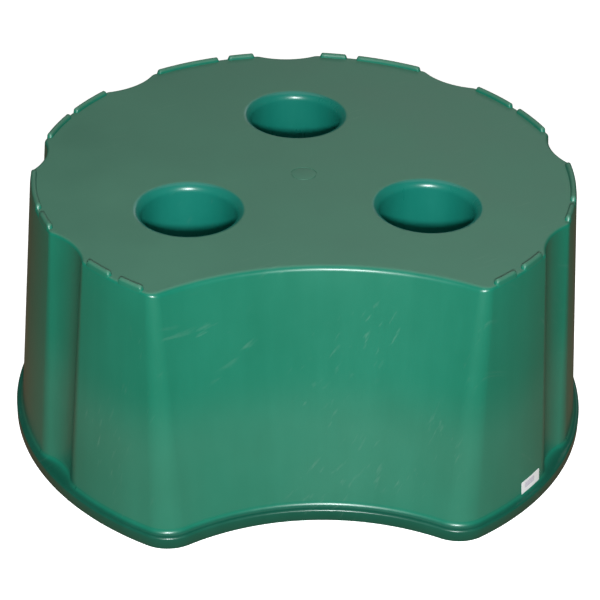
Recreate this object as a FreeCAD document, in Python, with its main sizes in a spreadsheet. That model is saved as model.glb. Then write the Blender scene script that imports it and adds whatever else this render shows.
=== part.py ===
"""Single-step mounting block: a hollow moulding with a scalloped round deck, a concave front,
three hand holes and an out-turned base rim. All lengths are in millimetres, all angles in degrees.

The circle that the lobes lie on is centred on the design axis, +Z is up, the concave front faces -Y
and the ground is at z = 0. At the end everything is moved along Y, so that the origin is the middle
of the block's footprint.
"""
import FreeCAD, Part
import math
import os
import Sketcher

SIZES = {
    # the body
    "deck_height": 269.0,          # standing surface above the ground
    "lobe_radius": 272.0,          # outline of the deck at its lobes
    "lobe_draft": 4.25,            # the side walls spread outwards towards the ground
    "front_distance": 455.0,       # design axis to the axis of the concave front
    "front_radius": 276.4,         # concave front, at the deck
    "front_draft": 6.86,
    "wall": 4.0,
    "deck_thickness": 5.0,
    "corner_round": 13.5,          # the two upright front corners, at the deck
    # the flutes
    "flute_radius": 68.0,          # at the deck
    "flute_depth": 9.6,            # at the deck
    "flute_round": 9.0,            # where a flute meets a lobe, at the deck
    # the base rim
    "rim_height": 13.0,
    "rim_width": 5.5,              # beyond the foot of the wall
    # the hand holes
    "hole_circle": 134.6,          # design axis to the two front holes
    "rear_hole_distance": 129.0,   # design axis to the rear hole
    "bore_radius": 47.0,
    "bore_edge_round": 8.8,
    "sleeve_wall": 4.0,
    "collar_width": 4.2,           # flat ring round the rounded edge
    "mouth_skirt": 3.0,            # straight wall of a mouth below its rounded edge
    # the raised lip on the deck's edge
    "lip_height": 4.5,
    "lip_width": 6.5,
    "lip_ledge": 0.5,              # the wall's top carries the lip with this much to spare
    "lip_gap_at_flute": 8.4,       # from the middle of a flute to the end of a lip
    "lip_gap_at_corner": 53.6,     # from the X axis round to the end of a lip beside a front corner
    "lip_notch": 2.2,              # opening in each lip
    # the underside
    "web_height": 40.0,
    "web_thickness": 4.0,
    "hub_radius": 15.0,
    # small things
    "gate_radius": 13.0,           # round recess in the deck
    "gate_depth": 0.6,
    "gate_groove": 0.8,            # round the disc in the recess
    "gate_sink": 0.1,              # the disc's face lies this far below the deck
    "sticker_thickness": 0.4,
    "sticker_rise": 17.0,          # on the wall, above the rim
    "sticker_start": -44.4,
    "sticker_sweep": 6.3,
}

FLUTES = {
    "left_front": 210,
    "left": 170,
    "rear_left": 130,
    "rear": 90,
    "rear_right": 50,
    "right": 10,
    "right_front": 330,
}
FLUTE_HALF_SPAN = 9                # a flute's wall runs this far each side of its middle
RIM_HALF_SPAN = 20                 # half of the spacing of the flutes
CORNER_START = 231                 # the left front corner's wall, and its mirror image
CORNER_END = 239
# each lobe: first and last angle of its wall, and the middle of the notch in its lip
LOBES = {
    "front_left": (219, 231, 225.8),
    "left": (179, 201, 194.8),
    "rear_left_outer": (139, 161, 150.3),
    "rear_left_inner": (99, 121, 105.3),
    "rear_right_inner": (59, 81, 74.7),
    "rear_right_outer": (19, 41, 29.7),
    "right": (-21, 1, -14.8),
    "front_right": (-51, -39, -45.8),
}
HOLES = {"left": 210, "right": 330, "rear": 90}

doc = FreeCAD.newDocument("MountingBlock")
sheet = doc.addObject("Spreadsheet::Sheet", "Sizes")
for row, (alias, value) in enumerate(SIZES.items(), start=1):
    sheet.set(f"A{row}", alias)
    sheet.set(f"B{row}", str(value))
    sheet.setAlias(f"B{row}", alias)
doc.recompute()

SPREAD = "Sizes.deck_height * tan(Sizes.lobe_draft)"
FRONT_SPREAD = "Sizes.deck_height * tan(Sizes.front_draft)"
RIM_RADIUS = f"Sizes.lobe_radius + {SPREAD} + Sizes.rim_width"
RIM_FRONT_RADIUS = f"Sizes.front_radius - {FRONT_SPREAD} - Sizes.rim_width"
COLLAR_RADIUS = "Sizes.bore_radius + Sizes.bore_edge_round + Sizes.collar_width"
UNDERSIDE = "Sizes.deck_height - Sizes.deck_thickness"
MOUTH_FLOOR = "Sizes.deck_height - Sizes.bore_edge_round - Sizes.mouth_skirt"
OUTSIDE = "Sizes.bore_radius + Sizes.sleeve_wall"
REACH = "2 * Sizes.lobe_radius"    # longer than any part of the block, for the cutting tools

nodes = []


def primitive(kind, name, placement=None, **sizes):
    """Add a Part primitive with its sizes and its placement bound to the sheet."""
    item = doc.addObject(f"Part::{kind}", name)
    for size, text in {**sizes, **(placement or {})}.items():
        item.setExpression(size, text)
    return item


def at(x="0", y="0", z="0", turn=None):
    """Expressions for a placement at x, y, z, turned about Z."""
    place = {"Placement.Base.x": x, "Placement.Base.y": y, "Placement.Base.z": z}
    if turn is not None:
        place["Placement.Rotation.Angle"] = turn
    return place


def cut(name, base, tool):
    item = doc.addObject("Part::Cut", name)
    item.Base = base
    item.Tool = tool
    return item


def common(name, base, tool):
    item = doc.addObject("Part::Common", name)
    item.Base = base
    item.Tool = tool
    return item


def fuse(name, items):
    item = doc.addObject("Part::MultiFuse", name)
    item.Shapes = items
    return item


def keep(item, label):
    """Mark an object as a finished sub-part."""
    item.Label = label
    nodes.append(item)
    return item


def polar(distance, angle):
    """Expressions for the point at a distance from the design axis."""
    return f"({distance}) * cos({angle})", f"({distance}) * sin({angle})"


def drafted(name, inset):
    """The drafted block with its seven flutes and its concave front, moved inwards by inset."""
    lobes = primitive("Cone", f"{name}Lobes", at(turn="270"), Height="Sizes.deck_height",
                      Radius1=f"Sizes.lobe_radius + {SPREAD} - {inset}",
                      Radius2=f"Sizes.lobe_radius - {inset}")
    tools = []
    for place, angle in FLUTES.items():
        x, y = polar("Sizes.lobe_radius - Sizes.flute_depth + Sizes.flute_radius", angle)
        tools.append(primitive("Cone", f"{name}Flute_{place}", at(x, y, turn=str(angle)),
                               Height="Sizes.deck_height",
                               Radius1=f"Sizes.flute_radius - {SPREAD} + {inset}",
                               Radius2=f"Sizes.flute_radius + {inset}"))
    tools.append(primitive("Cone", f"{name}Front", at(y="-Sizes.front_distance"),
                           Height="Sizes.deck_height",
                           Radius1=f"Sizes.front_radius - {FRONT_SPREAD} + {inset}",
                           Radius2=f"Sizes.front_radius + {inset}"))
    return cut(name, lobes, fuse(f"{name}Tools", tools))


def round_uprights(name, base, height, radius_at):
    """Round the edges that climb the whole height; radius_at(angle, z) gives the radii of an edge."""
    doc.recompute()
    edges = []
    for number, edge in enumerate(base.Shape.Edges, start=1):
        box = edge.BoundBox
        if box.ZLength > 0.9 * height:
            angle = math.degrees(math.atan2(box.Center.y, box.Center.x))
            ends = (edge.firstVertex(), edge.lastVertex())
            edges.append((number, *(radius_at(angle, vertex.Point.z) for vertex in ends)))
    item = doc.addObject("Part::Fillet", name)
    item.Base = base
    item.Edges = edges
    return item


def wedge(name, start, sweep):
    """A sector of a tall disc about the design axis, used to divide the moulding."""
    return primitive("Cylinder", name, at(turn=str(start)), Radius=REACH,
                     Height="Sizes.deck_height", Angle=str(sweep))


def sector(name, start, end, body, label):
    """The part of a body between two angles, kept as a sub-part."""
    keep(common(name, body, wedge(f"{name}Wedge", start, end - start)), label)


def is_front(angle):
    """Whether an upright edge is one of the two front corners."""
    return -130 < angle < -50


def wall_round(angle, z):
    """The radius of an upright edge, which grows towards the ground as the walls spread."""
    at_deck = sheet.corner_round if is_front(angle) else sheet.flute_round
    return at_deck + (sheet.deck_height - z) * math.tan(math.radians(sheet.lobe_draft))


def rim_round(angle, z):
    """The rim runs round the front corners at an even width."""
    return wall_round(angle, min(z, 0)) + sheet.rim_width


# the moulded wall: outer skin less inner skin, turned in at the top to carry the lips
outer = round_uprights("OuterRounded", drafted("Outer", "0"), sheet.deck_height, wall_round)
inner = round_uprights("InnerRounded", drafted("Inner", "Sizes.wall"), sheet.deck_height,
                       lambda angle, z: max(wall_round(angle, z) - sheet.wall, 1))
slab = primitive("Cylinder", "DeckSlab", at(z=UNDERSIDE), Radius=REACH, Height="Sizes.deck_thickness")
deck_core = common("DeckCore", drafted("DeckOutline", "(Sizes.lip_width + Sizes.lip_ledge)"), slab)
cavity = cut("Cavity", inner, slab)
shell = cut("Shell", outer, fuse("Hollow", [cavity, deck_core]))

sector("FrontWall", CORNER_END, 540 - CORNER_END, shell, "front_wall")
sector("CornerLeft", CORNER_START, CORNER_END, shell, "front_corner_left")
sector("CornerRight", 540 - CORNER_END, 540 - CORNER_START, shell, "front_corner_right")
for place, middle in FLUTES.items():
    sector(f"Flute_{place}", middle - FLUTE_HALF_SPAN, middle + FLUTE_HALF_SPAN, shell,
           f"flute_{place}")
for place, (start, end, notch) in LOBES.items():
    sector(f"Lobe_{place}", start, end, shell, f"lobe_{place}")


# the base rim: an upright band round the foot of the wall
def rim_blank():
    """The rim as a full disc with its concave front, before the block is taken out of it."""
    band = primitive("Cylinder", "RimBand", at(turn="270"), Radius=RIM_RADIUS,
                     Height="Sizes.rim_height")
    front_band = primitive("Cylinder", "RimFrontBand", at(y="-Sizes.front_distance"),
                           Radius=RIM_FRONT_RADIUS, Height="Sizes.rim_height")
    return round_uprights("RimRounded", cut("RimBlank", band, front_band), sheet.rim_height, rim_round)


rim = cut("Rim", rim_blank(), outer)
for place, middle in FLUTES.items():
    sector(f"Rim_{place}", middle - RIM_HALF_SPAN, middle + RIM_HALF_SPAN, rim, f"base_rim_{place}")
sector("Rim_front", 230, 310, rim, "base_rim_front")


# the deck, let into the walls, with room for the mouths of the hand holes and for the gate disc
def hole_place(name):
    """Expressions for the middle of a hand hole."""
    distance = "Sizes.rear_hole_distance" if name == "rear" else "Sizes.hole_circle"
    return polar(distance, HOLES[name])


deck_tools = [primitive("Cylinder", "GateRecess", at(z="Sizes.deck_height - Sizes.gate_depth"),
                        Radius="Sizes.gate_radius", Height="Sizes.gate_depth")]
sleeve_tools = []
for name in HOLES:
    x, y = hole_place(name)
    deck_tools.append(primitive("Cylinder", f"Collar_{name}", at(x, y), Radius=COLLAR_RADIUS,
                                Height="Sizes.deck_height"))
    sleeve_tools.append(primitive("Cylinder", f"SleeveRoom_{name}", at(x, y), Radius=OUTSIDE,
                                  Height="Sizes.deck_height"))
keep(cut("Deck", deck_core, fuse("DeckTools", deck_tools)), "deck_plate")


def plane_of(body, role):
    """One of a body's own origin planes."""
    return next(item for item in body.Origin.OriginFeatures if item.Role == role)


def ring_profile(body, corners):
    """A closed sketch on the body's XZ plane; each corner is a pair of expressions."""
    sketch = body.newObject("Sketcher::SketchObject", f"{body.Name}Profile")
    sketch.AttachmentSupport = [(plane_of(body, "XZ_Plane"), "")]
    sketch.MapMode = "FlatFace"
    rough = [FreeCAD.Vector(50 + 9 * math.cos(turn), 99 + 9 * math.sin(turn), 0)
             for turn in (2 * math.pi * k / len(corners) for k in range(len(corners)))]
    for index, start in enumerate(rough):
        sketch.addGeometry(Part.LineSegment(start, rough[(index + 1) % len(rough)]), False)
    for index in range(len(corners)):
        sketch.addConstraint(Sketcher.Constraint("Coincident", index, 2, (index + 1) % len(corners), 1))
    for index, (across, up) in enumerate(corners):
        for kind, text in (("DistanceX", across), ("DistanceY", up)):
            number = sketch.addConstraint(Sketcher.Constraint(kind, -1, 1, index, 1, 1.0 + index))
            sketch.setExpression(f"Constraints[{number}]", text)
    return sketch


def turned(name, profile_corners, label):
    """A ring about a hand hole's axis, made from its section."""
    body = doc.addObject("PartDesign::Body", label.title().replace("_", ""))
    profile = ring_profile(body, profile_corners)
    ring = body.newObject("PartDesign::Revolution", f"{body.Name}Ring")
    ring.Profile = profile
    ring.ReferenceAxis = (profile, ["V_Axis"])
    ring.Angle = 360
    body.Tip = ring
    x, y = hole_place(name)
    for size, text in at(x, y).items():
        body.setExpression(size, text)
    keep(body, label)
    return body


def round_circle(body, radius, height, rounding):
    """Round the circular edge with this radius and height."""
    doc.recompute()
    base = body.Tip
    found = [f"Edge{number}" for number, edge in enumerate(base.Shape.Edges, start=1)
             if isinstance(edge.Curve, Part.Circle)
             and abs(edge.Curve.Radius - radius) < 1e-3
             and abs(edge.Curve.Center.z - height) < 1e-3]
    fillet = body.newObject("PartDesign::Fillet", f"{body.Name}Round{len(body.Group)}")
    fillet.Base = (base, found)
    fillet.setExpression("Radius", rounding)
    body.Tip = fillet


mouths = []
for name in HOLES:
    turned(name, [("Sizes.bore_radius", "0"), (OUTSIDE, "0"), (OUTSIDE, MOUTH_FLOOR),
                  ("Sizes.bore_radius", MOUTH_FLOOR)], f"hand_hole_tube_{name}")
    mouth = turned(name, [("Sizes.bore_radius", MOUTH_FLOOR), (OUTSIDE, MOUTH_FLOOR),
                          (OUTSIDE, UNDERSIDE), (COLLAR_RADIUS, UNDERSIDE),
                          (COLLAR_RADIUS, "Sizes.deck_height"),
                          ("Sizes.bore_radius", "Sizes.deck_height")], f"hand_hole_mouth_{name}")
    round_circle(mouth, sheet.bore_radius, sheet.deck_height, "Sizes.bore_edge_round")
    round_circle(mouth, sheet.bore_radius + sheet.sleeve_wall,
                 sheet.deck_height - sheet.deck_thickness, "Sizes.sleeve_wall")
    mouths.append(mouth)


# the raised lips on the lobes, each with a notch
def lip(place, start, end, notch):
    """One lobe's lip: two ring segments with a notch between them."""
    ring = cut(f"LipRing_{place}",
               primitive("Cylinder", f"LipOutside_{place}", at(z="Sizes.deck_height"),
                         Radius="Sizes.lobe_radius", Height="Sizes.lip_height"),
               primitive("Cylinder", f"LipInside_{place}", at(z="Sizes.deck_height"),
                         Radius="Sizes.lobe_radius - Sizes.lip_width", Height="Sizes.lip_height"))
    spans = [(start, f"{notch} - Sizes.lip_notch / 2"), (f"{notch} + Sizes.lip_notch / 2", end)]
    tools = [primitive("Cylinder", f"LipSpan{number}_{place}",
                       at(z="Sizes.deck_height", turn=low), Radius=REACH,
                       Height="Sizes.lip_height", Angle=f"({high}) - ({low})")
             for number, (low, high) in enumerate(spans)]
    keep(common(f"Lip_{place}", ring, fuse(f"LipSpans_{place}", tools)), f"lip_{place}")


for place, (start, end, notch) in LOBES.items():
    low = f"{start - FLUTE_HALF_SPAN} + Sizes.lip_gap_at_flute"
    high = f"{end + FLUTE_HALF_SPAN} - Sizes.lip_gap_at_flute"
    if place == "front_left":
        high = "180 + Sizes.lip_gap_at_corner"
    if place == "front_right":
        low = "-Sizes.lip_gap_at_corner"
    lip(place, low, high, notch)


# the underside: a hub and upright webs that carry the deck
WEB_FLOOR = f"{UNDERSIDE} - Sizes.web_height"
keep(primitive("Cylinder", "Hub", at(z=WEB_FLOOR), Radius="Sizes.hub_radius",
               Height="Sizes.web_height"), "centre_hub")
hub_room = primitive("Cylinder", "HubRoom", Radius="Sizes.hub_radius", Height="Sizes.deck_height")
web_room = cut("WebRoom", inner, fuse("WebObstacles", [hub_room, *sleeve_tools, *mouths]))


def web(name, angle, start, length):
    """A radial web under the deck, trimmed to the hub, the sleeves and the walls."""
    half = "Sizes.web_thickness / 2"
    x, y = f"({start}) * cos({angle}) + {half} * sin({angle})", \
           f"({start}) * sin({angle}) - {half} * cos({angle})"
    plate = primitive("Box", f"{name}Plate", at(x, y, WEB_FLOOR, turn=str(angle)),
                      Length=length, Width="Sizes.web_thickness", Height="Sizes.web_height")
    return common(name, web_room, plate)


for name, angle in HOLES.items():
    distance = "Sizes.rear_hole_distance" if name == "rear" else "Sizes.hole_circle"
    keep(web(f"InnerWeb_{name}", angle, "0", distance), f"web_hub_to_{name}_hole")
    keep(web(f"OuterWeb_{name}", angle, distance, REACH), f"web_{name}_hole_to_wall")
for name, angle in {"front": 270, "left": 150, "right": 30}.items():
    keep(web(f"LongWeb_{name}", angle, "0", REACH), f"web_hub_to_wall_{name}")

# the small things: the gate mark on the deck, and the sticker near the foot of the wall
keep(primitive("Cylinder", "Gate", at(z="Sizes.deck_height - Sizes.gate_depth"),
               Radius="Sizes.gate_radius - Sizes.gate_groove",
               Height="Sizes.gate_depth - Sizes.gate_sink"), "gate_disc")


def sticker():
    """A thin label on the wall, standing on the rim."""
    foot = "Sizes.rim_height"
    head = "Sizes.rim_height + Sizes.sticker_rise"
    wall_at = "Sizes.lobe_radius + (Sizes.deck_height - ({z})) * tan(Sizes.lobe_draft)"
    skin = "Sizes.sticker_thickness"
    body = doc.addObject("PartDesign::Body", "Sticker")
    profile = ring_profile(body, [
        (wall_at.format(z=foot), foot),
        (wall_at.format(z=head), head),
        (f"{wall_at.format(z=head)} + {skin}", head),
        (f"{wall_at.format(z=foot)} + {skin}", foot)])
    strip = body.newObject("PartDesign::Revolution", "StickerStrip")
    strip.Profile = profile
    strip.ReferenceAxis = (profile, ["V_Axis"])
    strip.setExpression("Angle", "Sizes.sticker_sweep")
    body.Tip = strip
    body.setExpression("Placement.Rotation.Angle", "Sizes.sticker_start")
    keep(body, "price_sticker")


sticker()
doc.recompute()


def check():
    """Stop unless every object was made, and every sub-part holds a valid solid."""
    for item in doc.Objects:
        if "Invalid" in item.State or "Error" in item.State:
            raise RuntimeError(f"{item.Name} was not made: {item.State}")
    for item in nodes:
        if item.Shape.isNull() or not item.Shape.isValid() or not item.Shape.Solids:
            raise RuntimeError(f"{item.Label} holds no valid solid")


check()
footprint = [item.Shape.optimalBoundingBox() for item in nodes if item.Label.startswith("base_rim")]
middle_y = (min(box.YMin for box in footprint) + max(box.YMax for box in footprint)) / 2
os.makedirs("parts", exist_ok=True)
for item in nodes:
    placed = item.Shape.copy()
    placed.translate(FreeCAD.Vector(0, -middle_y, 0))
    placed.exportStep(f"parts/{item.Label}.step")
    print(f"{item.Label}: {len(placed.Solids)} solid, {placed.Volume / 1000:.1f} cm3")
print(f"design axis is at y = {-middle_y:.3f}")
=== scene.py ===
"""Looks of a round, single-step mounting block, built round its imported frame.

The block is one hollow moulding in green polypropylene. Its wall has eight lobes, seven flutes and
a concave front, its deck has three hand holes and a broken raised lip, and a rim runs round its
foot. Every piece here stands for one zone of that moulding, or for the sticker on it.
"""
import logging
import math
from dataclasses import dataclass
from enum import Enum
from functools import lru_cache
from typing import Sequence

import bmesh
import bpy
from mathutils import Euler, Matrix, Vector


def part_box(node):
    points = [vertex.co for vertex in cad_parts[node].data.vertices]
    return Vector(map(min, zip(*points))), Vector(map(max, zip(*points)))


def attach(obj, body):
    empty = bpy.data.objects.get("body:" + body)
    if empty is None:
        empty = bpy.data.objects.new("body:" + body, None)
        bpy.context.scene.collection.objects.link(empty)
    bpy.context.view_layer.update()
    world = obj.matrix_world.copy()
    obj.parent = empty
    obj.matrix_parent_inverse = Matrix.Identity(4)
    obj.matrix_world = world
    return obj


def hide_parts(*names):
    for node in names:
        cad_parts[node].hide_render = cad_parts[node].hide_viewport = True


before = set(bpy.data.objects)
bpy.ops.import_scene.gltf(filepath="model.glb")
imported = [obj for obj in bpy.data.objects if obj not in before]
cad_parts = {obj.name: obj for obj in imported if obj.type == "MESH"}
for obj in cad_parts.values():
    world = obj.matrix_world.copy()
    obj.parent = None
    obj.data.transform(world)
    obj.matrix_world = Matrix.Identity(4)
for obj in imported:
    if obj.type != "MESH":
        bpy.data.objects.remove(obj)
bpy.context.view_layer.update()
BODY = "root"
LOG = logging.getLogger("mounting_block")

Ring = list[Vector]
Section = list[tuple[float, float]]
Colour = tuple[float, float, float]


# ---------------------------------------------------------------- plan of the block


class Kind(Enum):
    """What a stretch of the wall is in plan."""

    FRONT = "front"
    CORNER = "corner"
    LOBE = "lobe"
    FLUTE = "flute"


@dataclass(frozen=True)
class Zone:
    """One stretch of the wall, anticlockwise from above.

    Args:
        node: CAD node that this stretch stands for.
        kind: shape of the stretch in plan.
        start: bearing of the flute before a lobe, or of the flute itself, in degrees.
        end: bearing of the flute after a lobe.
    """

    node: str
    kind: Kind
    start: float = 0.0
    end: float = 0.0


ZONES = (
    Zone("front_wall", Kind.FRONT),
    Zone("front_corner_right", Kind.CORNER, 1),
    Zone("lobe_front_right", Kind.LOBE, math.nan, -30),
    Zone("flute_right_front", Kind.FLUTE, -30),
    Zone("lobe_right", Kind.LOBE, -30, 10),
    Zone("flute_right", Kind.FLUTE, 10),
    Zone("lobe_rear_right_outer", Kind.LOBE, 10, 50),
    Zone("flute_rear_right", Kind.FLUTE, 50),
    Zone("lobe_rear_right_inner", Kind.LOBE, 50, 90),
    Zone("flute_rear", Kind.FLUTE, 90),
    Zone("lobe_rear_left_inner", Kind.LOBE, 90, 130),
    Zone("flute_rear_left", Kind.FLUTE, 130),
    Zone("lobe_rear_left_outer", Kind.LOBE, 130, 170),
    Zone("flute_left", Kind.FLUTE, 170),
    Zone("lobe_left", Kind.LOBE, 170, 210),
    Zone("flute_left_front", Kind.FLUTE, 210),
    Zone("lobe_front_left", Kind.LOBE, 210, math.nan),
    Zone("front_corner_left", Kind.CORNER, -1),
)


@dataclass(frozen=True)
class Arc:
    """A circular arc in plan, run from start to end, in radians."""

    x: float
    y: float
    radius: float
    start: float
    end: float

    def at(self, part: float) -> tuple[float, float]:
        """Point at a part of the way along the arc, from 0 to 1."""
        turn = self.start + (self.end - self.start) * part
        return self.x + self.radius * math.cos(turn), self.y + self.radius * math.sin(turn)


@dataclass(frozen=True)
class Station:
    """A place along the wall: a zone, one of its arcs, and how far along that arc."""

    zone: Zone
    arc: int
    part: float


@dataclass(frozen=True)
class Plan:
    """Outline of the block in plan, on the deck unless it says otherwise, in metres."""

    axis_y: float
    deck_height: float
    lobe_radius: float = 0.272
    side_slope: float = math.tan(math.radians(4.25))
    front_distance: float = 0.455
    front_radius: float = 0.2764
    front_slope: float = math.tan(math.radians(6.86))
    corner_round: float = 0.0135
    flute_radius: float = 0.068
    flute_depth: float = 0.0096
    flute_round: float = 0.009

    @property
    def flute_distance(self) -> float:
        """Distance from the design axis to the axis of a flute."""
        return self.lobe_radius - self.flute_depth + self.flute_radius

    @property
    def flute_turn(self) -> float:
        """Angle at the design axis between a flute's middle and its end.

        Returns:
            The angle in radians.
        """
        near = self.lobe_radius - self.flute_round
        far = self.flute_radius + self.flute_round
        away = self.flute_distance
        return math.acos((near**2 + away**2 - far**2) / (2 * near * away))

    def spread(self, height: float) -> tuple[float, float]:
        """How far the side walls and the front stand outside the deck's outline, at a height."""
        drop = self.deck_height - height
        return drop * self.side_slope, drop * self.front_slope

    def corner(self, side: float, front: float) -> tuple[float, float, float]:
        """Centre and radius of the right front corner's rounding.

        Args:
            side: how far the side walls stand outside the deck's outline.
            front: the same for the front wall.

        Returns:
            x, y and radius.
        """
        radius = self.corner_round + side
        near = self.lobe_radius + side - radius
        far = self.front_radius - front + radius
        y = (far**2 - near**2 - self.front_distance**2) / (2 * self.front_distance)
        return math.sqrt(near**2 - y**2), y, radius

    @lru_cache(maxsize=None)
    def arcs(self, zone: Zone, side: float, front: float) -> tuple[Arc, ...]:
        """The arcs of a zone, with the walls moved outwards.

        Args:
            zone: stretch of the wall.
            side: how far the side walls stand outside the deck's outline.
            front: the same for the front wall.

        Returns:
            One arc, or three for a flute.
        """
        x, y, radius = self.corner(side, front)
        on_lobe = math.atan2(y, x)
        on_front = math.atan2(-self.front_distance - y, -x)
        if zone.kind is Kind.FRONT:
            half = math.atan2(x, y + self.front_distance)
            return (Arc(0, -self.front_distance, self.front_radius - front,
                        math.pi / 2 + half, math.pi / 2 - half),)
        if zone.kind is Kind.CORNER:
            if zone.start > 0:
                return (Arc(x, y, radius, on_front, on_lobe),)
            return (Arc(-x, y, radius, -math.pi - on_lobe, -math.pi - on_front),)
        if zone.kind is Kind.LOBE:
            start = math.radians(zone.start) + self.flute_turn
            end = math.radians(zone.end) - self.flute_turn
            start = on_lobe if math.isnan(start) else start
            end = math.pi - on_lobe if math.isnan(end) else end
            return (Arc(0, 0, self.lobe_radius + side, start, end),)
        return self.flute_arcs(math.radians(zone.start), side)

    def flute_arcs(self, bearing: float, side: float) -> tuple[Arc, ...]:
        """The rounding before a flute, the flute and the rounding after it.

        Args:
            bearing: bearing of the flute's middle, in radians.
            side: how far the side walls stand outside the deck's outline.

        Returns:
            Three arcs.
        """
        near = self.lobe_radius - self.flute_round
        turn = self.flute_turn
        lean = math.asin(near * math.sin(turn) / (self.flute_radius + self.flute_round))
        small = self.flute_round + side
        first, last = bearing - turn, bearing + turn
        return (
            Arc(near * math.cos(first), near * math.sin(first), small, first, bearing + lean),
            Arc(self.flute_distance * math.cos(bearing), self.flute_distance * math.sin(bearing),
                self.flute_radius - side, bearing + math.pi + lean, bearing + math.pi - lean),
            Arc(near * math.cos(last), near * math.sin(last), small, bearing - lean, last),
        )

    def place(self, station: Station, side: float, front: float, height: float) -> Vector:
        """Point on the moved outline at a station, at a height, in the row frame."""
        x, y = self.arcs(station.zone, side, front)[station.arc].at(station.part)
        return Vector((x, y + self.axis_y, height))

    def around(self, bearing: float, offset: float, height: float) -> Vector:
        """Point outside the lobes' circle, at a bearing in radians and a height."""
        out = self.lobe_radius + offset
        return Vector((out * math.cos(bearing), out * math.sin(bearing) + self.axis_y, height))

    def frontness(self, station: Station) -> float:
        """How far a station belongs to the front.

        Args:
            station: place along the wall.

        Returns:
            0 on the side walls and 1 on the front, with a smooth change round a corner.
        """
        if station.zone.kind is Kind.FRONT:
            return 1.0
        if station.zone.kind is not Kind.CORNER:
            return 0.0
        return smooth(1 - station.part if station.zone.start > 0 else station.part)


def smooth(part: float) -> float:
    """Ease a part from 0 to 1 in and out."""
    return part * part * (3 - 2 * part)


def parts(count: int, margin: float = 0.004) -> list[float]:
    """Even steps from 0 to 1, with one more step close to each end that holds the shading."""
    return [0.0, margin, *(k / count for k in range(1, count)), 1 - margin, 1.0]


STEPS = {Kind.FRONT: (72,), Kind.CORNER: (22,), Kind.LOBE: (26,), Kind.FLUTE: (10, 18, 10)}


def stations(zone: Zone, low: float = 0.0, high: float = 1.0) -> list[Station]:
    """Stations along a zone, or along part of it.

    Args:
        zone: stretch of the wall.
        low: share of each arc at which the stations start.
        high: share at which they end.

    Returns:
        The stations in order.
    """
    found = []
    for arc, count in enumerate(STEPS[zone.kind]):
        steps = parts(count) if arc == 0 else parts(count)[1:]
        found += [Station(zone, arc, low + (high - low) * part) for part in steps]
    return found


# ---------------------------------------------------------------- mesh helpers


def close_loop(bm: bmesh.types.BMesh, points: Sequence[Vector]) -> tuple[list, list]:
    """Draw a closed loop of edges through points, and give its vertices and its edges."""
    corners = [bm.verts.new(point) for point in points]
    return corners, [bm.edges.new(pair) for pair in zip(corners, corners[1:] + corners[:1])]


def skin(rings: Sequence[Ring]) -> bmesh.types.BMesh:
    """Bridge rings of points into one closed solid.

    Args:
        rings: closed sections with the same number of points.

    Returns:
        The new solid, capped at both ends.
    """
    bm = bmesh.new()
    loops = [close_loop(bm, ring)[1] for ring in rings]
    for loop, follower in zip(loops, loops[1:]):
        bmesh.ops.bridge_loops(bm, edges=loop + follower)
    for cap in (loops[0], loops[-1]):
        bmesh.ops.contextual_create(bm, geom=cap)
    bmesh.ops.recalc_face_normals(bm, faces=bm.faces)
    return bm


def turned(profile: Section, centre: Vector, steps: int) -> bmesh.types.BMesh:
    """Spin a closed profile about a vertical axis.

    Args:
        profile: corners of the section, as radius and height.
        centre: a point on the axis.
        steps: number of faces round the axis.

    Returns:
        The new solid.
    """
    bm = bmesh.new()
    corners, edges = close_loop(
        bm, [Vector((centre.x + radius, centre.y, height)) for radius, height in profile])
    bmesh.ops.spin(bm, geom=corners + edges, cent=centre, axis=(0, 0, 1), angle=math.tau,
                   steps=steps, use_merge=True)
    bmesh.ops.recalc_face_normals(bm, faces=bm.faces)
    return bm


def rounding(x: float, z: float, radius: float, start: float, end: float, steps: int) -> Section:
    """Points of an arc in a section, from start to end in degrees."""
    turns = [math.radians(start + (end - start) * k / steps) for k in range(steps + 1)]
    return [(x + radius * math.cos(turn), z + radius * math.sin(turn)) for turn in turns]


def finish_and_painted_light_blend(bm: bmesh.types.BMesh, height: float, depth: float) -> None:
    """Mark how far each vertex lies down from the matt deck, from 0 to 1, as "polish", which leads
    into painted shade on the rim and painted light in the hand holes.

    Args:
        bm: mesh to mark.
        height: height of the deck.
        depth: drop at which the mark reaches 1.
    """
    layer = bm.verts.layers.float.new("finish_and_painted_light_blend")
    for vert in bm.verts:
        vert[layer] = smooth(min(1.0, max(0.0, (height - vert.co.z) / depth)))


def piece(name: str, bm: bmesh.types.BMesh, material: bpy.types.Material, slot: str,
          *nodes: str, sharp: float = 38.0) -> bpy.types.Object:
    """Make an object of a finished mesh, attach it to the body, and hide the CAD nodes that it
    stands for.

    Args:
        name: name of the piece.
        bm: its mesh, which is freed.
        material: its finish.
        slot: the record's material slot. It is not used.
        nodes: CAD nodes that it stands for.
        sharp: angle in degrees above which an edge is drawn sharp.

    Returns:
        The new object.
    """
    mesh = bpy.data.meshes.new(name)
    bm.to_mesh(mesh)
    bm.free()
    mesh.shade_smooth()
    mesh.set_sharp_from_angle(angle=math.radians(sharp))
    mesh.materials.append(material)
    made = bpy.data.objects.new(name, mesh)
    bpy.context.scene.collection.objects.link(made)
    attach(made, BODY)
    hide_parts(*nodes)
    LOG.info("%s: %d faces, stands for %s", name, len(mesh.polygons), ", ".join(nodes))
    return made


# ---------------------------------------------------------------- finishes, some with painted light


NOISE_SPAN = (0.3, 0.7)  # nearly all of a noise's values lie in here
PLASTIC_IOR = 1.49
GRAIN_DEPTH = 0.0004
# Pale warm tint near the ground: painted reflection of the floor, plus dust.
FLOOR_SHEEN_AND_DUST: Colour = (0.34, 0.33, 0.27)
SCRATCH: Colour = (0.24, 0.36, 0.30)


class Blend(Enum):
    """What a mix node blends."""

    VALUE = "FLOAT"
    COLOUR = "RGBA"


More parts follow.
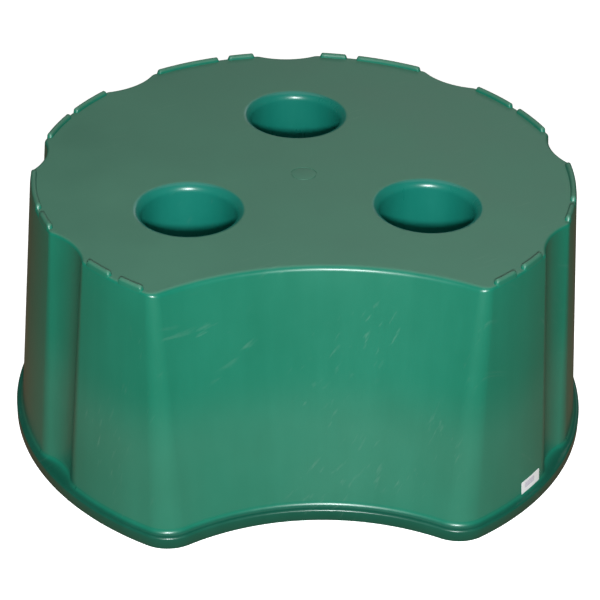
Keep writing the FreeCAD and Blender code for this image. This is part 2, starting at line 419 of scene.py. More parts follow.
@dataclass(frozen=True)
class Graph:
    """A tree of shader nodes, to which nodes are added ready wired."""

    tree: bpy.types.NodeTree

    def feed(self, node: bpy.types.Node, inputs: dict[str | int, object]) -> None:
        """Feed a node's inputs.

        Args:
            node: node to feed.
            inputs: name or number of an input to its value, or to the socket linked to it.
        """
        for key, value in inputs.items():
            if isinstance(value, bpy.types.NodeSocket):
                self.tree.links.new(value, node.inputs[key])
            else:
                node.inputs[key].default_value = value

    def add(self, kind: str, inputs: dict[str | int, object] | None = None,
            **settings: object) -> bpy.types.NodeOutputs:
        """Add a node.

        Args:
            kind: type of the node, without "ShaderNode".
            inputs: what its inputs are fed with.
            settings: its own settings, such as its operation.

        Returns:
            The node's outputs.
        """
        node = self.tree.nodes.new(f"ShaderNode{kind}")
        for key, value in settings.items():
            setattr(node, key, value)
        self.feed(node, inputs or {})
        return node.outputs

    def noise(self, vector: object, scale: object, detail: float,
              roughness: float = 0.5) -> bpy.types.NodeSocket:
        """Add a noise texture."""
        return self.add("TexNoise", {"Vector": vector, "Scale": scale, "Detail": detail,
                                     "Roughness": roughness})["Fac"]

    def remap(self, value: object, span: tuple[object, float],
              onto: tuple[float, float] = (0.0, 1.0), **settings: object) -> bpy.types.NodeSocket:
        """Map a value from one span onto another."""
        return self.add("MapRange", {"Value": value, "From Min": span[0], "From Max": span[1],
                                     "To Min": onto[0], "To Max": onto[1]}, **settings)["Result"]

    def times(self, first: object, second: object, **settings: object) -> bpy.types.NodeSocket:
        """Multiply two values."""
        return self.add("Math", {0: first, 1: second}, operation="MULTIPLY", **settings)["Value"]

    def mix(self, blend: Blend, share: object, first: object,
            second: object) -> bpy.types.NodeSocket:
        """Blend from the first to the second by a share."""
        return self.add("Mix", {"Factor": share, "A": first, "B": second},
                        data_type=blend.value)["Result"]

    def effect(self, group: bpy.types.NodeTree, vector: object,
               **amounts: float) -> bpy.types.NodeSocket:
        """Place a shared effect with its own amounts."""
        return self.add("Group", {"Vector": vector, **amounts}, node_tree=group)[0]


def new_group(name: str, amounts: dict[str, float],
              output: str) -> tuple[Graph, bpy.types.NodeOutputs, bpy.types.Node]:
    """Start a shader node group that takes a Vector and some amounts, and puts out one value.

    Args:
        name: name of the group.
        amounts: name to default of each input after the Vector.
        output: name of the output.

    Returns:
        The group's graph, the sockets that bring its inputs, and its output node.
    """
    tree = bpy.data.node_groups.new(name, "ShaderNodeTree")
    tree.interface.new_socket("Vector", in_out="INPUT", socket_type="NodeSocketVector")
    for socket, default in amounts.items():
        made = tree.interface.new_socket(socket, in_out="INPUT", socket_type="NodeSocketFloat")
        made.default_value = default
    tree.interface.new_socket(output, in_out="OUTPUT", socket_type="NodeSocketFloat")
    given = tree.nodes.new("NodeGroupInput").outputs
    return Graph(tree), given, tree.nodes.new("NodeGroupOutput")


def mottle_group() -> bpy.types.NodeTree:
    """Slow changes of shade in the moulding, and long upright flow marks.

    Returns:
        The group.
    """
    graph, given, result = new_group("mottle", {"Blotch": 11.0, "Flow": 0.5}, "Shade")
    broad = graph.noise(given["Vector"], given["Blotch"], 4.0, 0.55)
    squash = graph.add("Mapping", {"Vector": given["Vector"], "Scale": (38.0, 38.0, 3.2)})
    flow = graph.noise(squash["Vector"], 1.0, 5.0, 0.6)
    graph.feed(result, {"Shade": graph.mix(Blend.VALUE, given["Flow"], broad, flow)})
    return graph.tree


def scuff_group() -> bpy.types.NodeTree:
    """Faint short scratches, slanting one way, in broken patches.

    Returns:
        The group.
    """
    graph, given, result = new_group("scuffs", {"Amount": 0.5}, "Mask")
    slant = graph.add("Mapping", {"Vector": given["Vector"], "Rotation": (0.25, 0.3, 0.6),
                                  "Scale": (0.16, 0.003, 0.02)}, vector_type="TEXTURE")
    strokes = graph.remap(graph.noise(slant["Vector"], 1.0, 2.0), (0.62, 0.74))
    patches = graph.remap(graph.noise(given["Vector"], 15.0, 3.0), (0.5, 0.66))
    mask = graph.times(graph.times(strokes, patches), given["Amount"], use_clamp=True)
    graph.feed(result, {"Mask": mask})
    return graph.tree


def skin_group() -> bpy.types.NodeTree:
    """Height of a moulded plastic skin: a fine spark-eroded grain over slow ripples.

    Returns:
        The group.
    """
    graph, given, result = new_group("moulded_skin", {"Grain": 900.0, "Ripple": 1.0}, "Height")
    grain = graph.noise(given["Vector"], given["Grain"], 3.0, 0.6)
    ripple = graph.times(graph.noise(given["Vector"], 24.0, 2.0, 0.4), given["Ripple"])
    height = graph.add("Math", {0: grain, 1: 0.12, 2: ripple}, operation="MULTIPLY_ADD")
    graph.feed(result, {"Height": height["Value"]})
    return graph.tree


def floor_sheen_and_dust_group() -> bpy.types.NodeTree:
    """Pale tint that thickens towards the ground, broken up by slow noise: painted reflection of
    the floor, plus dust.

    Returns:
        The group.
    """
    graph, given, result = new_group("floor_sheen_and_dust", {"Top": 0.17, "Amount": 0.1}, "Mask")
    height = graph.add("SeparateXYZ", {"Vector": given["Vector"]})["Z"]
    rise = graph.remap(height, (given["Top"], 0.09), interpolation_type="SMOOTHSTEP")
    cloud = graph.remap(graph.noise(given["Vector"], 7.0, 3.0), NOISE_SPAN, (0.6, 1.0))
    mask = graph.times(graph.times(rise, cloud), given["Amount"], use_clamp=True)
    graph.feed(result, {"Mask": mask})
    return graph.tree


@dataclass(frozen=True)
class Moulding:
    """Green polypropylene, as moulded, some of it with painted light: the rim's darker copy is
    painted shade, the sleeves' bluer copy is painted light, and the pale tint near the ground is
    painted floor reflection plus dust.

    Args:
        name: name of the material.
        low: linear colour where the shade is darkest.
        high: linear colour where it is lightest.
        dull: roughness where the skin is dullest.
        bright: roughness where it shines most.
        blotch: scale of the slow changes of shade.
        flow: share of the upright flow marks, from 0 to 1.
        grain: scale of the fine grain.
        ripple: height of the slow ripples against the grain.
        relief: strength of the bump.
        scuffs: amount of pale scratches.
        floor_sheen_and_dust: amount of the pale tint near the ground, painted floor reflection
            plus dust.
    """

    name: str
    low: Colour
    high: Colour
    dull: float
    bright: float
    blotch: float = 11.0
    flow: float = 0.5
    grain: float = 900.0
    ripple: float = 1.0
    relief: float = 0.2
    scuffs: float = 0.12
    floor_sheen_and_dust: float = 0.0

    def shade(self, graph: Graph,
              mottle: bpy.types.NodeSocket) -> tuple[bpy.types.NodeSocket, bpy.types.NodeSocket]:
        """Add the colour and the roughness that follow the mottle's shade.

        Args:
            graph: graph of the material.
            mottle: the shade to follow.

        Returns:
            The sockets of the colour and of the roughness.
        """
        colour = graph.add("ValToRGB", {"Fac": mottle})["Color"]
        stops = colour.node.color_ramp.elements
        for stop, place, tint in zip(stops, NOISE_SPAN, (self.low, self.high)):
            stop.position = place
            stop.color = (*tint, 1)
        return colour, graph.remap(mottle, NOISE_SPAN, (self.bright, self.dull))

    def build(self, groups: dict[str, bpy.types.NodeTree],
              flat: "Moulding | None" = None) -> bpy.types.Material:
        """Make the material from the shared groups.

        Args:
            groups: the shared shader groups by name.
            flat: finish that takes over where the attribute "polish" is 0.

        Returns:
            The material.
        """
        made = bpy.data.materials.new(self.name)
        made.use_nodes = True
        graph = Graph(made.node_tree)
        place = graph.add("TexCoord")["Object"]
        mottle = graph.effect(groups["mottle"], place, Blotch=self.blotch, Flow=self.flow)
        scuffs = graph.effect(groups["scuffs"], place, Amount=self.scuffs)
        height = graph.effect(groups["skin"], place, Grain=self.grain, Ripple=self.ripple)
        floor_sheen_and_dust_mask = graph.effect(groups["floor_sheen_and_dust"], place, Amount=self.floor_sheen_and_dust)
        colour, rough = self.shade(graph, mottle)
        if flat is not None:
            finish_and_painted_light_blend = graph.add("Attribute", attribute_name="finish_and_painted_light_blend")["Fac"]
            flat_colour, flat_rough = flat.shade(graph, mottle)
            colour = graph.mix(Blend.COLOUR, finish_and_painted_light_blend, flat_colour, colour)
            rough = graph.mix(Blend.VALUE, finish_and_painted_light_blend, flat_rough, rough)
        # The pale tint near the ground is painted floor reflection plus dust; the scratches are
        # real wear.
        for mask, pale in ((floor_sheen_and_dust_mask, FLOOR_SHEEN_AND_DUST), (scuffs, SCRATCH)):
            colour = graph.mix(Blend.COLOUR, mask, colour, (*pale, 1))
        bump = graph.add("Bump", {"Strength": self.relief, "Distance": GRAIN_DEPTH,
                                  "Height": height})
        graph.feed(made.node_tree.nodes["Principled BSDF"], {
            "Base Color": colour, "Roughness": rough, "Normal": bump["Normal"],
            "Specular IOR Level": 0.5, "IOR": PLASTIC_IOR})
        return made


@dataclass(frozen=True)
class Label:
    """White coated paper with generic grey printing.

    Args:
        name: name of the material.
        paper: linear colour of the paper.
        ink: linear colour of the printing.
        across: where the printing starts and ends across the label, from 0 to 1.
        upwards: the same up the label.
        bars: number of bars for the whole height, as the scale of a wave.
        fill: how much of a bar is ink, from 0 to 1.
    """

    name: str
    paper: Colour = (0.80, 0.80, 0.82)
    ink: Colour = (0.42, 0.38, 0.52)
    across: tuple[float, float] = (0.16, 0.70)
    upwards: tuple[float, float] = (0.46, 0.86)
    bars: float = 4.2
    fill: float = 0.85

    def build(self) -> bpy.types.Material:
        """Make the material: bars of ink across the label, on its own UV map.

        Returns:
            The material.
        """
        made = bpy.data.materials.new(self.name)
        made.use_nodes = True
        graph = Graph(made.node_tree)
        place = graph.add("TexCoord")
        split = graph.add("SeparateXYZ", {"Vector": place["UV"]})
        bars = graph.add("TexWave", {"Vector": place["UV"], "Scale": self.bars, "Distortion": 0.0},
                         wave_type="BANDS", bands_direction="Y")["Fac"]
        mask = graph.remap(bars, (0.25, 0.45), (0.0, self.fill))
        for axis, edges in (("X", self.across), ("Y", self.upwards)):
            for operation, edge in zip(("GREATER_THAN", "LESS_THAN"), edges):
                inside = graph.add("Math", {0: split[axis], 1: edge}, operation=operation)
                mask = graph.times(mask, inside["Value"])
        fibres = graph.noise(place["Object"], 900.0, 4.0)
        graph.feed(made.node_tree.nodes["Principled BSDF"], {
            "Base Color": graph.mix(Blend.COLOUR, mask, (*self.paper, 1), (*self.ink, 1)),
            "Roughness": graph.remap(fibres, NOISE_SPAN, (0.35, 0.5))})
        return made


# The wall's pale tint near the ground is painted floor reflection plus dust.
WALL = Moulding("green_wall", (0.003, 0.124, 0.077), (0.006, 0.149, 0.095), 0.40, 0.28, floor_sheen_and_dust=0.06)
DECK = Moulding("green_deck", (0.038, 0.138, 0.090), (0.048, 0.158, 0.104), 0.66, 0.56,
                flow=0.0, grain=700.0, ripple=0.5, relief=0.3, scuffs=0.08)
# Darker copy of the wall's green for the rim's ledge and face: painted shade.
RIM = Moulding("green_rim", (0.002, 0.060, 0.038), (0.004, 0.076, 0.049), 0.38, 0.26)
# Bluer copy of the wall's green for the hand holes: painted light.
SLEEVE = Moulding("green_sleeve", (0.004, 0.128, 0.096), (0.008, 0.152, 0.116), 0.34, 0.24,
                  scuffs=0.05)
UNDERSIDE = Moulding("green_underside", (0.008, 0.125, 0.078), (0.014, 0.155, 0.098), 0.6, 0.45,
                     blotch=16.0, relief=0.35, scuffs=0.1)


# ---------------------------------------------------------------- pieces


@dataclass(frozen=True)
class Row:
    """A corner of the wall's section: offsets and heights on the side walls and on the front."""

    side: float
    side_height: float
    front: float
    front_height: float


@dataclass
class Wall:
    """The moulded wall, with its rolled top edge, its ledge for the lips and its hollow inside."""

    plan: Plan
    thickness: float = 0.004
    ledge: float = 0.007
    ledge_hold: float = 0.0004
    deck_thickness: float = 0.005
    shoulder: float = 0.004
    shoulder_step: float = 0.001
    side_roll: float = 0.0035
    front_roll: float = 0.006
    matt_edge: float = 0.0012
    outside: tuple[float, ...] = (0.24, 0.2, 0.15, 0.1, 0.06, 0.03, 0.0)
    inside: tuple[float, ...] = (0.0, 0.13)

    def top(self, slope: float, roll: float) -> Section:
        """Section of the ledge and the rolled edge.

        Args:
            slope: how far the wall spreads for each metre down.
            roll: radius of the rolled edge.

        Returns:
            Offsets and heights.
        """
        lean = math.atan(slope)
        x = roll * math.tan(lean) - roll / math.cos(lean)
        height = self.plan.deck_height
        edge = rounding(x, height - roll, roll, 90, math.degrees(lean), 8)
        return [(-self.ledge, height), (x - self.ledge_hold, height), *edge]

    def rows(self) -> list[Row]:
        """The whole section, from the ledge over the outside to the inside and back.

        Returns:
            Its corners, in order.
        """
        plan = self.plan
        under = plan.deck_height - self.deck_thickness
        levels = [(height, 0.0) for height in self.outside]
        levels += [(height, self.thickness) for height in (*self.inside, under - self.shoulder)]
        sections = (self.top(plan.side_slope, self.side_roll),
                    self.top(plan.front_slope, self.front_roll))
        for section, walls in zip(sections, zip(*(plan.spread(height) for height, _ in levels))):
            section.extend((out - inset, height) for out, (height, inset) in zip(walls, levels))
            section.extend([(-self.thickness - self.shoulder_step, under), (-self.ledge, under)])
        return [Row(*side, *front) for side, front in zip(*sections)]

    def ring(self, station: Station) -> Ring:
        """The section at a station.

        Args:
            station: place along the wall.

        Returns:
            Its points.
        """
        share = self.plan.frontness(station)
        return [self.plan.place(station, row.side, row.front,
                                row.side_height + (row.front_height - row.side_height) * share)
                for row in self.rows()]

    def build(self, material: bpy.types.Material) -> None:
        """Make one closed piece for each stretch of the wall.

        Args:
            material: their finish; its pale tint near the ground is painted floor reflection plus
                dust.
        """
        for zone in ZONES:
            bm = skin([self.ring(station) for station in stations(zone)])
            finish_and_painted_light_blend(bm, self.plan.deck_height, self.matt_edge)
            piece(f"moulded_{zone.node}", bm, material, "green_wall", zone.node)


@dataclass
class Rim:
    """The out-turned rim, with a hollow sweep from the wall down to its edge."""

    plan: Plan
    width: float = 0.0055
    height: float = 0.013
    sweep: float = 0.0055
    edge: float = 0.0022
    edge_steps: int = 5
    bury: float = 0.0012
    cover: float = 0.004
    proud: float = 0.00002
    sweep_steps: int = 10
    foot_width: float = 0.0006
    foot_height: float = 0.0008
    merge: float = 1e-7
    blend_share: float = 0.6

    def edge_point(self, station: Station, inset: float, height: float) -> Vector:
        """Point on the rim's outline. The rim runs straight past the flutes.

        Args:
            station: place along the wall.
            inset: how far the point is moved in.
            height: its height.

        Returns:
            The point.
        """
        plan = self.plan
        side, front = (foot + self.width - inset for foot in plan.spread(0.0))
        if station.zone.kind is not Kind.FLUTE:
            return plan.place(station, side, front, height)
        near = plan.place(station, side - self.width, front, height)
        out = Vector((near.x, near.y - plan.axis_y)).normalized() * (plan.lobe_radius + side)
        return Vector((out.x, out.y + plan.axis_y, height))

    def wall_point(self, station: Station, inset: float, height: float) -> Vector:
        """Point on the wall's outside, moved in by inset."""
        side, front = self.plan.spread(height)
        return self.plan.place(station, side - inset, front - inset, height)

    def ring(self, station: Station) -> Ring:
        """The section, from inside the wall over the sweep to the ground and back.

        Args:
            station: place along the wall.

        Returns:
            Its corners.
        """
        top = self.height + self.sweep
        ring = [self.wall_point(station, self.bury, 0.0),
                self.wall_point(station, self.bury, top + self.cover)]
        near = self.wall_point(station, -self.proud, top)
        far = self.edge_point(station, self.edge, self.height)
        for step in range(self.sweep_steps + 1):
            turn = math.pi / 2 * step / self.sweep_steps
            point = near.lerp(far, 1 - math.cos(turn))
            point.z = top - self.sweep * math.sin(turn)
            ring.append(point)
        for out, up in rounding(0.0, 0.0, 1.0, 75, 0, self.edge_steps):
            ring.append(self.edge_point(station, self.edge * (1 - out),
                                        self.height - self.edge * (1 - up)))
        ring += [self.edge_point(station, 0.0, self.foot_height),
                 self.edge_point(station, self.foot_width, 0.0)]
        return ring

    def build(self, material: bpy.types.Material) -> None:
        """Make the front of the rim, and one piece about each flute.

        Args:
            material: their finish; its darker green below the top of the sweep is painted shade.
        """
        whole = {zone.node.removeprefix("flute_"): (index, index)
                 for index, zone in enumerate(ZONES) if zone.kind is Kind.FLUTE}
        for name, (first, last) in {"front": (-1, 1), **whole}.items():
            run = stations(ZONES[first - 1], 0.5, 1.0)
            for index in range(first, last + 1):
                run += stations(ZONES[index])
            run += stations(ZONES[last + 1], 0.0, 0.5)
            bm = skin([self.ring(station) for station in run])
            bmesh.ops.remove_doubles(bm, verts=bm.verts, dist=self.merge)
            bmesh.ops.recalc_face_normals(bm, faces=bm.faces)
            # Over this span of the sweep the rim turns from the wall's green into its darker
            # green, which is painted shade.
            dull = self.blend_share * self.sweep
            finish_and_painted_light_blend(bm, self.height + dull, dull)
            piece(f"moulded_rim_{name}", bm, material, "green_rim", f"base_rim_{name}")


@dataclass
class Deck:
    """The flat deck, cut out for the mouths of the hand holes, with the recess of the gate."""

    plan: Plan
    wall: Wall
    holes: dict[str, Vector]
    collar: float = 0.060
    gate: float = 0.013
    gate_depth: float = 0.0006
    gate_groove: float = 0.0008
    gate_sink: float = 0.0001
    gate_edge: float = 0.0003
    round_steps: int = 96
    disc_steps: int = 64
    merge: float = 1e-6

    def outline(self, bm: bmesh.types.BMesh) -> list[bmesh.types.BMEdge]:
        """Edges of the deck's outline, where it meets the wall's ledge."""
        inset = -self.wall.ledge
        return close_loop(bm, [self.plan.place(station, inset, inset, self.plan.deck_height)
                               for zone in ZONES for station in stations(zone)[:-1]])[1]

    def circle(self, bm: bmesh.types.BMesh, centre: Vector,
               radius: float) -> list[bmesh.types.BMEdge]:
        """Draw a circle on the deck.

        Args:
            bm: mesh to draw in.
            centre: a point on the circle's axis.
            radius: its radius.

        Returns:
            Its edges.
        """
        place = Matrix.Translation((centre.x, centre.y, self.plan.deck_height))
        made = bmesh.ops.create_circle(bm, radius=radius, segments=self.round_steps, matrix=place)
        return list({edge for vert in made["verts"] for edge in vert.link_edges})

    def lower(self, bm: bmesh.types.BMesh, edges: list[bmesh.types.BMEdge],
              depth: float) -> list[bmesh.types.BMEdge]:
        """Draw edges straight down into upright faces.

        Args:
            bm: mesh that holds the edges.
            edges: edges to draw down.
            depth: how far.

        Returns:
            The lower edges.
        """
        grown = bmesh.ops.extrude_edge_only(bm, edges=edges)["geom"]
        low = [item for item in grown if isinstance(item, bmesh.types.BMVert)]
        bmesh.ops.translate(bm, verts=low, vec=(0, 0, -depth))
        return [item for item in grown if isinstance(item, bmesh.types.BMEdge)
                and all(vert in low for vert in item.verts)]

    def build(self, material: bpy.types.Material) -> None:
        """Make the deck plate and the gate disc.

        Args:
            material: their finish.
        """
        centre = Vector((0, self.plan.axis_y, 0))
        height = self.plan.deck_height
        bm = bmesh.new()
        edges = self.outline(bm)
        for hole in self.holes.values():
            edges += self.circle(bm, hole, self.collar)
        gate = self.circle(bm, centre, self.gate)
        bmesh.ops.triangle_fill(bm, edges=edges + gate, use_beauty=True, normal=(0, 0, 1))
        bmesh.ops.contextual_create(bm, geom=self.lower(bm, gate, self.gate_depth))
        under = self.lower(bm, edges, self.wall.deck_thickness)
        bmesh.ops.triangle_fill(bm, edges=under, use_beauty=True, normal=(0, 0, -1))
        bmesh.ops.recalc_face_normals(bm, faces=bm.faces)
        piece("moulded_deck", bm, material, "green_deck", "deck_plate")
        radius, edge = self.gate - self.gate_groove, self.gate_edge
        low, high = height - self.gate_depth, height - self.gate_sink
        disc = turned([(0.0, low), (radius, low),
                       *rounding(radius - edge, high - edge, edge, 0, 90, 4), (0.0, high)],
                      centre, self.disc_steps)
        bmesh.ops.remove_doubles(disc, verts=disc.verts, dist=self.merge)
        bmesh.ops.recalc_face_normals(disc, faces=disc.faces)
        piece("moulded_gate_disc", disc, material, "green_deck", "gate_disc")


@dataclass
class HandHoles:
    """The three hand holes: a mouth with a rolled edge over a straight tube."""

    plan: Plan
    holes: dict[str, Vector]
    bore: float = 0.047
    wall: float = 0.004
    roll: float = 0.0088
    collar: float = 0.060
    collar_hold: float = 0.0005
    skirt: float = 0.003
    deck_thickness: float = 0.005
    chamfer: float = 0.0006
    steps: int = 128

    @property
    def outside(self) -> float:
        """Outer radius of a tube."""
        return self.bore + self.wall

    @property
    def joint(self) -> float:
        """Height at which a mouth stands on its tube."""
        return self.plan.deck_height - self.roll - self.skirt

    def mouth(self) -> Section:
        """Section of a mouth.

        Returns:
            Radii and heights.
        """
        top = self.plan.deck_height
        under = top - self.deck_thickness
        brim = self.bore + self.roll
        return [(self.bore, self.joint), *rounding(brim, top - self.roll, self.roll, 180, 90, 14),
                (brim + self.collar_hold, top), (self.collar, top), (self.collar, under),
                *rounding(self.outside + self.wall, under - self.wall, self.wall, 90, 180, 6),
                (self.outside, self.joint)]

    def tube(self) -> Section:
        """Section of a tube, as radii and heights."""
        return [(self.bore, self.chamfer), (self.bore, self.joint), (self.outside, self.joint),
                (self.outside, self.chamfer), (self.outside - self.chamfer, 0.0),
                (self.bore + self.chamfer, 0.0)]

    def build(self, sleeve: bpy.types.Material) -> None:
        """Make the mouth and the tube of each hole.

        Args:
            sleeve: their finish; its bluer copy of the wall's green is painted light.
        """
        for name, centre in self.holes.items():
            for part, section, depth, sharp in (("mouth", self.mouth(), 0.06, 50.0),
                                                ("tube", self.tube(), 0.4, 38.0)):
                bm = turned(section, centre, self.steps)
                finish_and_painted_light_blend(bm, self.plan.deck_height, depth * self.roll)
                piece(f"moulded_{part}_{name}", bm, sleeve, "green_sleeve",
                      f"hand_hole_{part}_{name}", sharp=sharp)


NOTCHES = {
    "front_right": -45.8, "right": -14.8, "rear_right_outer": 29.7, "rear_right_inner": 74.7,
    "rear_left_inner": 105.3, "rear_left_outer": 150.3, "left": 194.8, "front_left": 225.8,
}


@dataclass
class Lips:
    """The raised lips on the lobes, each with sloping ends and a notch."""

    plan: Plan
    wall: Wall
    height: float = 0.0045
    width: float = 0.0065
    crown: float = 0.0029
    slope: float = 1.0
    foot: float = 7.3
    corner_foot: float = 53.5
    notch: float = 1.3
    step: float = 0.9
    end_steps: int = 6
    hold: float = 0.0002
    end_width: float = 0.35
    end_height: float = 0.03
    end_inset: float = 0.002
    blend_share: float = 0.8

    def section(self, rise: float) -> Section:
        """Section of a lip that is cut down towards its ends.

        Args:
            rise: share of the full height, from 0 to 1.

        Returns:
            Offsets and heights.
        """
        base = self.plan.deck_height - self.wall.side_roll
        lean = self.plan.side_slope
        top = self.plan.deck_height + self.height
        crown, hold = self.crown, self.hold
        full = [(-self.width, base), (-self.width + hold, top - 1.1 * crown),
                *rounding(-self.width + 1.5 * hold + crown, top - crown, crown, 175, 90, 6),
                *rounding(-(self.height + crown) * lean - crown, top - crown, crown, 90, 5, 6),
                (-hold + self.wall.side_roll * lean, base)]
        narrow = self.end_width + (1 - self.end_width) * rise
        return [(offset * narrow - self.end_inset * (1 - rise),
                 base + (height - base) * max(rise, self.end_height)) for offset, height in full]

    def run(self, start: float, end: float) -> list[Ring]:
        """Rings along one segment.

        Args:
            start: bearing of its first end, in degrees.
            end: bearing of its second end.

        Returns:
            The rings.
        """
        length = end - start
        count = max(6, round(abs(length) / self.step))
        ends = [self.slope * k / self.end_steps for k in range(self.end_steps + 1)]
        inner = [self.slope + (length - 2 * self.slope) * k / count for k in range(1, count)]
        rings = []
        for turn in (*ends, *inner, *(length - turn for turn in reversed(ends))):
            near = min(turn, length - turn) / self.slope
            bearing = math.radians(start + turn)
            rings.append([self.plan.around(bearing, offset, height) for offset, height
                          in self.section(smooth(min(1.0, max(0.0, near))))])
        return rings

    def build(self, material: bpy.types.Material) -> None:
        """Make the two segments of each lobe's lip as one piece.

        Args:
            material: their finish.
        """
        for zone in ZONES:
            if zone.kind is not Kind.LOBE:
                continue
            name = zone.node.removeprefix("lobe_")
            start = -self.corner_foot if math.isnan(zone.start) else zone.start + self.foot
            end = 180 + self.corner_foot if math.isnan(zone.end) else zone.end - self.foot
            middle = NOTCHES[name]
            bm = skin(self.run(start, middle - self.notch / 2))
            second = skin(self.run(middle + self.notch / 2, end))
            spare = bpy.data.meshes.new("second_segment")
            second.to_mesh(spare)
            second.free()
            bm.from_mesh(spare)
            bpy.data.meshes.remove(spare)
            finish_and_painted_light_blend(bm, self.plan.deck_height + self.height, self.blend_share * self.height)
            piece(f"moulded_lip_{name}", bm, material, "green_deck", f"lip_{name}", sharp=60)


@dataclass
class Sticker:
    """A small paper label, stuck on the wall just above the rim."""

    plan: Plan
    start: float = -44.4
    end: float = -38.1
    foot: float = 0.0136
    head: float = 0.0298
    skin: float = 0.0003
    corner: float = 0.0012
    sink: float = 0.0002
    steps: int = 6

    def ring(self, share: float) -> Ring:
        """The section at a share of the label's width. Its corners are cut round.

        Args:
            share: 0 at the label's start and 1 at its end.

        Returns:
            Its points, up the outside and down the inside.
        """
        sweep = math.radians(self.end - self.start)
        bearing = math.radians(self.start) + sweep * share
        near = max(0.0, self.corner - min(share, 1 - share) * sweep * self.plan.lobe_radius)
        trim = self.corner - math.sqrt(self.corner**2 - near**2)
        rise = self.head - self.foot - 2 * trim
        levels = [self.foot + trim + rise * k / self.steps for k in range(self.steps + 1)]
        return [self.plan.around(bearing, proud + self.plan.spread(height)[0], height)
                for proud, run in ((self.skin, levels), (-self.sink, reversed(levels)))
                for height in run]

    def build(self, material: bpy.types.Material) -> None:
        """Make the label, with a UV map that follows it across and up.

        Args:
            material: its finish.
        """
        ends = (0.0, 0.01, 0.025, 0.04)
        shares = [*ends, *(k / 12 for k in range(1, 12)), *(1 - share for share in reversed(ends))]
        bm = skin([self.ring(share) for share in shares])
        layer = bm.loops.layers.uv.new("label")
        for face in bm.faces:
            for loop in face.loops:
                point = loop.vert.co
                bearing = math.degrees(math.atan2(point.y - self.plan.axis_y, point.x))
                loop[layer].uv = ((bearing - self.start) / (self.end - self.start),
                                  (point.z - self.foot) / (self.head - self.foot))
        piece("paper_label", bm, material, "sticker", "price_sticker")


@dataclass
class Underside:
    """The hub and the webs under the deck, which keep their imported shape."""

    names: tuple[str, ...]

    def build(self, material: bpy.types.Material) -> None:
        """Dress each of them.

        Args:
            material: their finish.
        """
        for name in self.names:
            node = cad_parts[name]
            node.data.materials.clear()
            node.data.materials.append(material)
            LOG.info("%s: dressed", name)


# ---------------------------------------------------------------- studio


@dataclass(frozen=True)
class Softbox:
    """A large soft light."""

    name: str
    place: tuple[float, float, float]
    aim: tuple[float, float, float]
    size: float
    power: float
    colour: Colour = (1.0, 1.0, 1.0)

    def build(self) -> None:
        """Hang the light and point it."""
        data = bpy.data.lights.new(self.name, "AREA")
        data.shape = "DISK"
        data.size = self.size
        data.energy = self.power
        data.color = self.colour
        made = bpy.data.objects.new(self.name, data)
        made.location = self.place
        aim = Vector(self.aim) - Vector(self.place)
        made.rotation_euler = aim.to_track_quat("-Z", "Y").to_euler()
        bpy.context.scene.collection.objects.link(made)


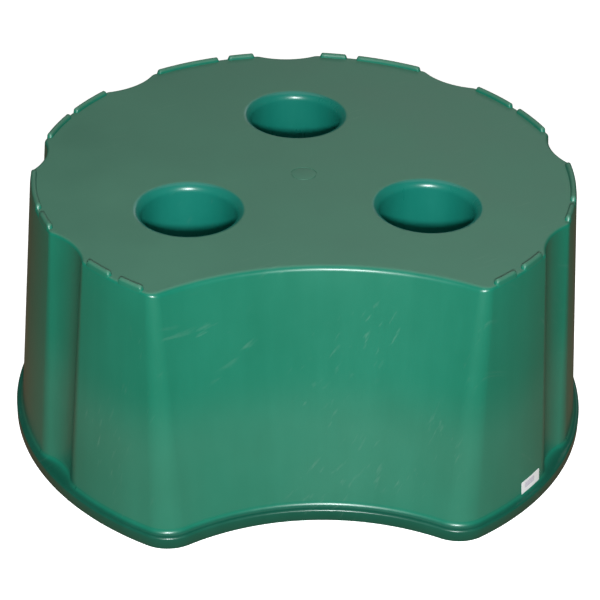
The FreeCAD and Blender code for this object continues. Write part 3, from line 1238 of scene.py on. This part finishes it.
@dataclass
class Studio:
    """Pale floor, soft lights and the camera."""

    axis_y: float
    deck_height: float
    pale: Colour = (0.9, 0.9, 0.9)
    bounce: Colour = (0.22, 0.13, 0.08)
    glow: float = 0.75
    air: Colour = (1.0, 0.93, 0.84)
    air_strength: float = 0.07
    floor_size: float = 12.0
    farthest: float = 60.0
    lens: float = 127.634
    eye: tuple[float, float, float] = (-0.151712, -1.858684, 1.031211)
    turns: tuple[float, float, float] = (57.647440, -1.244427, -3.860819)

    def floor(self) -> None:
        """A wide plain floor, white to the camera and tan to everything it lights."""
        bm = bmesh.new()
        bmesh.ops.create_grid(bm, x_segments=1, y_segments=1, size=self.floor_size)
        mesh = bpy.data.meshes.new("floor")
        bm.to_mesh(mesh)
        bm.free()
        made = bpy.data.objects.new("floor", mesh)
        bpy.context.scene.collection.objects.link(made)
        material = bpy.data.materials.new("pale_floor")
        material.use_nodes = True
        graph = Graph(material.node_tree)
        seen = graph.add("LightPath")["Is Camera Ray"]
        graph.feed(material.node_tree.nodes["Principled BSDF"], {
            "Base Color": graph.mix(Blend.COLOUR, seen, (*self.bounce, 1), (*self.pale, 1)),
            "Emission Strength": graph.times(seen, self.glow), "Emission Color": (1, 1, 1, 1),
            "Roughness": 0.9, "Specular IOR Level": 0.0})
        mesh.materials.append(material)

    def sky(self) -> None:
        """Dim even light from all round."""
        world = bpy.data.worlds.new("studio")
        world.use_nodes = True
        Graph(world.node_tree).feed(world.node_tree.nodes["Background"], {
            "Color": (*self.air, 1), "Strength": self.air_strength})
        bpy.context.scene.world = world

    def camera(self) -> None:
        """The camera, placed from the middle of the deck."""
        data = bpy.data.cameras.new("camera")
        data.lens = self.lens
        data.clip_end = self.farthest
        made = bpy.data.objects.new("camera", data)
        x, y, z = self.eye
        made.location = (x, self.axis_y + y, self.deck_height + z)
        made.rotation_euler = Euler([math.radians(turn) for turn in self.turns])
        bpy.context.scene.collection.objects.link(made)
        bpy.context.scene.camera = made

    def build(self) -> None:
        """Set the whole studio up."""
        self.floor()
        self.sky()
        self.camera()
        for light in (
            Softbox("key", (-0.14, -2.1, 1.22), (0, 0, 0.18), 0.18, 72.0, (0.93, 1.0, 1.0)),
            Softbox("fill", (-0.1, -2.6, 1.7), (0, 0, 0.2), 1.5, 24.0, (0.95, 1.0, 1.0)),
            Softbox("overhead", (0.0, 0.5, 2.8), (0, 0, 0.2), 2.4, 15.0, (1.0, 0.98, 0.95)),
            Softbox("back", (0.7, 2.7, 1.7), (0, 0, 0.15), 1.4, 9.0, (1.0, 0.98, 0.95)),
        ):
            light.build()
        bpy.context.scene.view_settings.view_transform = "Standard"


def main() -> None:
    """Build every piece in order, then the studio."""
    logging.basicConfig(level=logging.INFO, format="%(name)s: %(message)s")
    groups = {"mottle": mottle_group(), "scuffs": scuff_group(), "skin": skin_group(),
              "floor_sheen_and_dust": floor_sheen_and_dust_group()}
    deck_finish, under_finish = (finish.build(groups) for finish in (DECK, UNDERSIDE))
    # Of these, the rim's darker green is painted shade, the sleeves' bluer green is painted light,
    # and the wall's pale tint near the ground is painted floor reflection plus dust.
    wall_finish_with_floor_sheen, sleeve_with_painted_light, rim_with_painted_shade = (
        finish.build(groups, flat) for finish, flat in ((WALL, DECK), (SLEEVE, DECK), (RIM, WALL)))
    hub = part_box("centre_hub")
    plan = Plan(axis_y=(hub[0].y + hub[1].y) / 2, deck_height=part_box("deck_plate")[1].z)
    holes = {}
    for name in ("left", "right", "rear"):
        low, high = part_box(f"hand_hole_tube_{name}")
        holes[name] = Vector(((low.x + high.x) / 2, (low.y + high.y) / 2, 0.0))
    wall = Wall(plan)
    rim = Rim(plan)
    wall.build(wall_finish_with_floor_sheen)
    rim.build(rim_with_painted_shade)
    Deck(plan, wall, holes).build(deck_finish)
    HandHoles(plan, holes).build(sleeve_with_painted_light)
    Lips(plan, wall).build(wall_finish_with_floor_sheen)
    Sticker(plan).build(Label("paper").build())
    stiffeners = tuple(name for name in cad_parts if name.startswith(("web", "centre")))
    Underside(stiffeners).build(under_finish)
    Studio(plan.axis_y, plan.deck_height).build()


if __name__ == "__main__":
    main()
